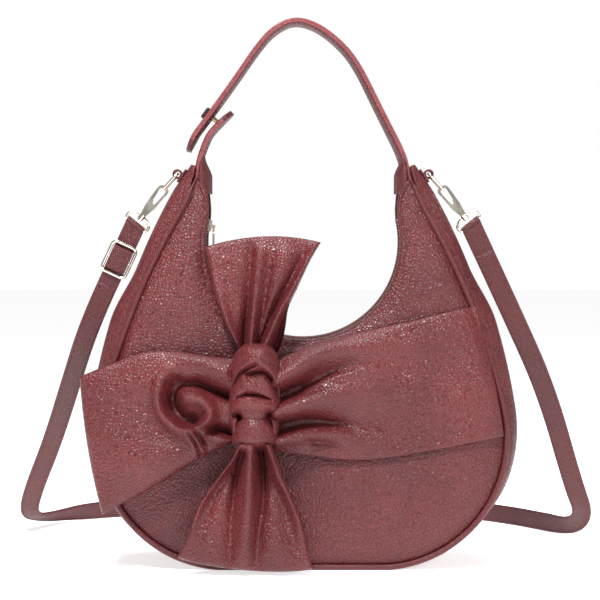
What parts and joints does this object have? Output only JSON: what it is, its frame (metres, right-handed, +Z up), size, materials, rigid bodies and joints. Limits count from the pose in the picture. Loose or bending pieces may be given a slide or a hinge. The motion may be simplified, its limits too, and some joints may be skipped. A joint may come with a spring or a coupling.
{
  "type": "hobo bag",
  "caption": "Crescent hobo bag of pebbled burgundy leather with a curved zip, a stud-joined shoulder handle, a large tied bow and a clip-on strap.",
  "frame": {"origin": "centre of the flat base that the bag stands on", "axes": "+Z up, +X to the right seen from the front, with the bow facing -Y; the zip's arc and the gusset's width run along Y"},
  "size_m": [0.4753, 0.3262, 0.4245],
  "materials": {
    "leather_body": "pebble-grain burgundy leather",
    "leather_piping": "pebble-grain burgundy leather rolled over a cord",
    "leather_handle": "two layers of burgundy leather with painted edges",
    "leather_strap": "narrow stitched burgundy leather",
    "leather_bow": "soft gathered pebble-grain burgundy leather",
    "lining_cloth": "plain woven lining",
    "board": "stiffening board",
    "zip_tape": "woven zip tape",
    "zip_metal": "pale plated teeth",
    "pale_gold": "polished pale gold plating",
    "spring_steel": "wound spring wire",
    "dark_metal": "dark cap of the handle stud"
  },
  "bodies": {
    "bag": {"front_panel": "leather_body", "back_panel": "leather_body", "gusset_left": "leather_body", "gusset_right": "leather_body", "neck_facing_front": "leather_body", "neck_facing_back": "leather_body", "piping_front": "leather_piping", "piping_back": "leather_piping", "handle_leg_left": "leather_handle", "handle_leg_right": "leather_handle", "crossbody_strap": "leather_strap", "strap_fold_left": "leather_strap", "strap_fold_right": "leather_strap", "ring_loop_left": "leather_strap", "ring_loop_right": "leather_strap", "sash_right": "leather_bow", "tail_left": "leather_bow", "tail_top": "leather_bow", "tail_bottom": "leather_bow", "bow_knot": "leather_bow", "lining": "lining_cloth", "slip_pocket": "lining_cloth", "base_board": "board", "zip_tape_front": "zip_tape", "zip_tape_back": "zip_tape", "zip_teeth_front": "zip_metal", "zip_teeth_back": "zip_metal", "zip_stops": "zip_metal", "side_ring_left": "pale_gold", "side_ring_right": "pale_gold", "swivel_ring_left": "pale_gold", "swivel_ring_right": "pale_gold"},
    "handle": {"handle_outer_layer": "leather_handle", "handle_inner_layer": "leather_handle", "handle_tab_outer": "leather_handle", "handle_tab_inner": "leather_handle", "stud_post": "pale_gold", "stud_cap": "dark_metal"},
    "slider": {"zip_slider": "pale_gold"},
    "pull": {"zip_pull": "pale_gold"},
    "clasp_left": {"clasp_body_left": "pale_gold", "gate_pin_left": "pale_gold", "gate_spring_left": "spring_steel"},
    "clasp_right": {"clasp_body_right": "pale_gold", "gate_pin_right": "pale_gold", "gate_spring_right": "spring_steel"},
    "gate_left": {"clasp_gate_left": "pale_gold"},
    "gate_right": {"clasp_gate_right": "pale_gold"},
    "adjuster": {"adjuster_frame": "pale_gold", "adjuster_bar": "pale_gold", "adjuster_loop": "leather_strap"}
  },
  "joints": [
    {"name": "handle_fold", "type": "hinge", "parent": "bag", "child": "handle", "pos_m": [0, 0, 0.305], "axis": [1, 0, 0], "range_deg": [-40, 40]},
    {"name": "zip_slide", "type": "hinge", "parent": "bag", "child": "slider", "pos_m": [0, 0, 0.25], "axis": [0, -1, 0], "range_deg": [0, 200]},
    {"name": "pull_swing", "type": "hinge", "parent": "slider", "child": "pull", "pos_m": [-0.07012, 0, 0.26236], "axis": [0, -1, 0], "range_deg": [0, 150]},
    {"name": "adjuster_slide", "type": "slide", "parent": "bag", "child": "adjuster", "axis": [-0.4226, 0, -0.9063], "range_m": [-0.01, 0.006]},
    {"name": "clasp_swivel_left", "type": "hinge", "parent": "bag", "child": "clasp_left", "pos_m": [-0.10926, 0, 0.29096], "axis": [-0.6293, 0, -0.7771], "range_deg": [-15, 15]},
    {"name": "gate_left_swing", "type": "hinge", "parent": "clasp_left", "child": "gate_left", "pos_m": [-0.11746, 0, 0.27701], "axis": [0, -1, 0], "range_deg": [0, 18], "stiffness_Nm_per_rad": 0.01, "springref_deg": -11.46},
    {"name": "clasp_swivel_right", "type": "hinge", "parent": "bag", "child": "clasp_right", "pos_m": [0.10926, 0, 0.29096], "axis": [0.6293, 0, -0.7771], "range_deg": [-15, 15]},
    {"name": "gate_right_swing", "type": "hinge", "parent": "clasp_right", "child": "gate_right", "pos_m": [0.11746, 0, 0.27701], "axis": [0, 1, 0], "range_deg": [0, 18], "stiffness_Nm_per_rad": 0.01, "springref_deg": -11.46}
  ]
}
